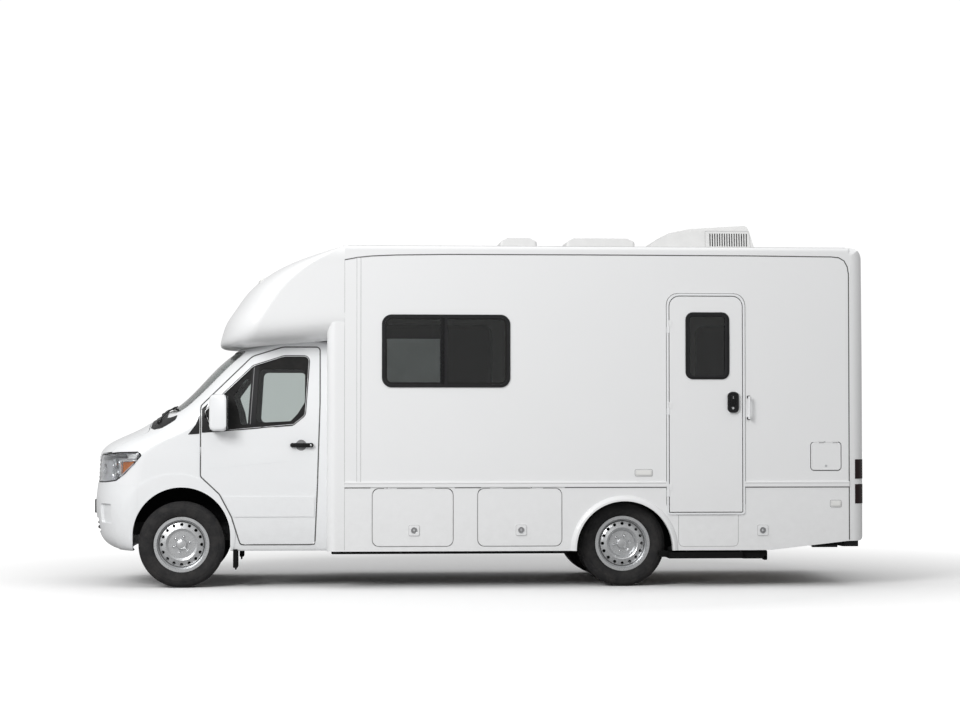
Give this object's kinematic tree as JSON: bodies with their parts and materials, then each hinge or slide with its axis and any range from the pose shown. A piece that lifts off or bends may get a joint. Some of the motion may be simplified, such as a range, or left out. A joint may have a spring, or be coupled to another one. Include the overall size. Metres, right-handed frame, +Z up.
{
  "type": "camper van",
  "caption": "Coachbuilt camper on a van cab with an overcab bulge, hinged doors, baggage doors and roof vents, steered front wheels and twin rear wheels",
  "frame": {"origin": "on the ground at the middle of the overall box", "axes": "+X towards the rear of the vehicle, +Y to its right, +Z up"},
  "size_m": [7.3405, 2.419, 3.4913],
  "materials": {
    "white_paint": "glossy white enamel",
    "white_gelcoat": "glossy moulded gel coat",
    "white_plastic": "smooth moulded plastic",
    "white_steel": "painted pressed steel",
    "black_plastic": "fine-grained black plastic",
    "dark_plastic": "dull dark plastic",
    "grey_plastic": "smooth grey plastic",
    "black_steel": "black chassis paint",
    "cast_iron": "dull cast iron",
    "brushed_steel": "dulled exhaust steel",
    "glass": "clear laminated glass",
    "tinted_glass": "dark tinted acrylic",
    "lamp_lens": "clear lamp lens",
    "lamp_dark": "smoked lamp lens",
    "plywood": "sealed plywood",
    "tyre": "black tread rubber",
    "seat_fabric": "woven seat cloth"
  },
  "bodies": {
    "vehicle_body": {"cab_shell": "white_paint", "windscreen": "glass", "headlamp_lenses": "lamp_lens", "grille": "black_plastic", "front_bumper": "white_plastic", "roof_panel": "white_gelcoat", "window_frames": "black_plastic", "window_panes": "tinted_glass", "tail_lamps": "lamp_dark", "rear_cap": "white_gelcoat", "lockers_left": "grey_plastic", "lockers_right": "grey_plastic", "wheel_housings": "dark_plastic", "coach_floor": "plywood", "front_cap": "white_gelcoat", "side_skirt_left": "white_gelcoat", "side_wall_left": "white_gelcoat", "side_skirt_right": "white_gelcoat", "side_wall_right": "white_gelcoat", "entry_frame": "white_paint", "entry_step": "black_steel", "roof_aircon": "white_plastic", "rear_axle": "cast_iron", "chassis_frame": "black_steel", "engine_block": "cast_iron", "driveline": "cast_iron", "leaf_springs": "black_steel", "front_suspension": "black_steel", "exhaust": "brushed_steel", "rear_bumper": "dark_plastic", "hitch_receiver": "black_steel", "cab_floor": "dark_plastic", "dashboard": "grey_plastic", "steering_wheel": "black_plastic", "cab_seats": "seat_fabric"},
    "cab_door_left": {"cab_door_left": "white_paint", "cab_door_glass_left": "glass"},
    "cab_door_right": {"cab_door_right": "white_paint", "cab_door_glass_right": "glass"},
    "bonnet": {"bonnet": "white_paint"},
    "baggage_door_front_left": {"baggage_door_front_left": "white_gelcoat"},
    "baggage_door_rear_left": {"baggage_door_rear_left": "white_gelcoat"},
    "baggage_door_front_right": {"baggage_door_front_right": "white_gelcoat"},
    "baggage_door_rear_right": {"baggage_door_rear_right": "white_gelcoat"},
    "utility_door": {"utility_door": "white_gelcoat"},
    "entry_door": {"entry_door": "white_gelcoat", "entry_door_glass": "tinted_glass"},
    "small_vent_lid": {"small_vent_lid": "white_plastic"},
    "fan_vent_lid": {"fan_vent_lid": "white_plastic"},
    "steering_knuckle_left": {"steering_knuckle_left": "cast_iron"},
    "steering_knuckle_right": {"steering_knuckle_right": "cast_iron"},
    "front_wheel_left": {"front_wheel_left": "white_steel", "front_tyre_left": "tyre"},
    "front_wheel_right": {"front_wheel_right": "white_steel", "front_tyre_right": "tyre"},
    "rear_wheels_left": {"rear_wheels_left": "white_steel", "rear_tyres_left": "tyre"},
    "rear_wheels_right": {"rear_wheels_right": "white_steel", "rear_tyres_right": "tyre"}
  },
  "joints": [
    {"name": "cab_door_left_hinge", "type": "hinge", "parent": "vehicle_body", "child": "cab_door_left", "pos_m": [-2.618, -0.993, 1.3], "axis": [0, 0, -1], "range_deg": [0, 65]},
    {"name": "cab_door_right_hinge", "type": "hinge", "parent": "vehicle_body", "child": "cab_door_right", "pos_m": [-2.618, 0.993, 1.3], "axis": [0, 0, 1], "range_deg": [0, 65]},
    {"name": "bonnet_hinge", "type": "hinge", "parent": "vehicle_body", "child": "bonnet", "pos_m": [-3.114, 0, 1.5554], "axis": [0, 1, 0], "range_deg": [0, 60]},
    {"name": "entry_door_hinge", "type": "hinge", "parent": "vehicle_body", "child": "entry_door", "pos_m": [1.791, -1.1765, 1.7], "axis": [0, 0, -1], "range_deg": [0, 160]},
    {"name": "baggage_door_front_left_hinge", "type": "hinge", "parent": "vehicle_body", "child": "baggage_door_front_left", "pos_m": [-0.63, -1.163, 0.933], "axis": [-1, 0, 0], "range_deg": [0, 90]},
    {"name": "baggage_door_rear_left_hinge", "type": "hinge", "parent": "vehicle_body", "child": "baggage_door_rear_left", "pos_m": [0.37, -1.163, 0.933], "axis": [-1, 0, 0], "range_deg": [0, 90]},
    {"name": "baggage_door_front_right_hinge", "type": "hinge", "parent": "vehicle_body", "child": "baggage_door_front_right", "pos_m": [-0.63, 1.163, 0.933], "axis": [1, 0, 0], "range_deg": [0, 90]},
    {"name": "baggage_door_rear_right_hinge", "type": "hinge", "parent": "vehicle_body", "child": "baggage_door_rear_right", "pos_m": [0.37, 1.163, 0.933], "axis": [1, 0, 0], "range_deg": [0, 90]},
    {"name": "utility_door_hinge", "type": "hinge", "parent": "vehicle_body", "child": "utility_door", "pos_m": [3.29, -1.163, 1.366], "axis": [-1, 0, 0], "range_deg": [0, 90]},
    {"name": "small_vent_hinge", "type": "hinge", "parent": "vehicle_body", "child": "small_vent_lid", "pos_m": [0.635, 0, 3.26], "axis": [0, 1, 0], "range_deg": [0, 60]},
    {"name": "fan_vent_hinge", "type": "hinge", "parent": "vehicle_body", "child": "fan_vent_lid", "pos_m": [1.605, 0, 3.26], "axis": [0, 1, 0], "range_deg": [0, 60]},
    {"name": "steering_left", "type": "hinge", "parent": "vehicle_body", "child": "steering_knuckle_left", "pos_m": [-2.794, -0.79, 0.405], "axis": [0, 0, 1], "range_deg": [-35, 35]},
    {"name": "steering_right", "type": "hinge", "parent": "vehicle_body", "child": "steering_knuckle_right", "pos_m": [-2.794, 0.79, 0.405], "axis": [0, 0, 1], "range_deg": [-35, 35]},
    {"name": "front_left_wheel_spin", "type": "hinge", "parent": "steering_knuckle_left", "child": "front_wheel_left", "pos_m": [-2.794, -0.872, 0.405], "axis": [0, 1, 0], "continuous": true},
    {"name": "front_right_wheel_spin", "type": "hinge", "parent": "steering_knuckle_right", "child": "front_wheel_right", "pos_m": [-2.794, 0.872, 0.405], "axis": [0, 1, 0], "continuous": true},
    {"name": "rear_left_wheels_spin", "type": "hinge", "parent": "vehicle_body", "child": "rear_wheels_left", "pos_m": [1.366, -0.925, 0.405], "axis": [0, 1, 0], "continuous": true},
    {"name": "rear_right_wheels_spin", "type": "hinge", "parent": "vehicle_body", "child": "rear_wheels_right", "pos_m": [1.366, 0.925, 0.405], "axis": [0, 1, 0], "continuous": true}
  ],
  "couplings": [
    {"joint": "steering_right", "follows": "steering_left", "ratio": 1}
  ]
}
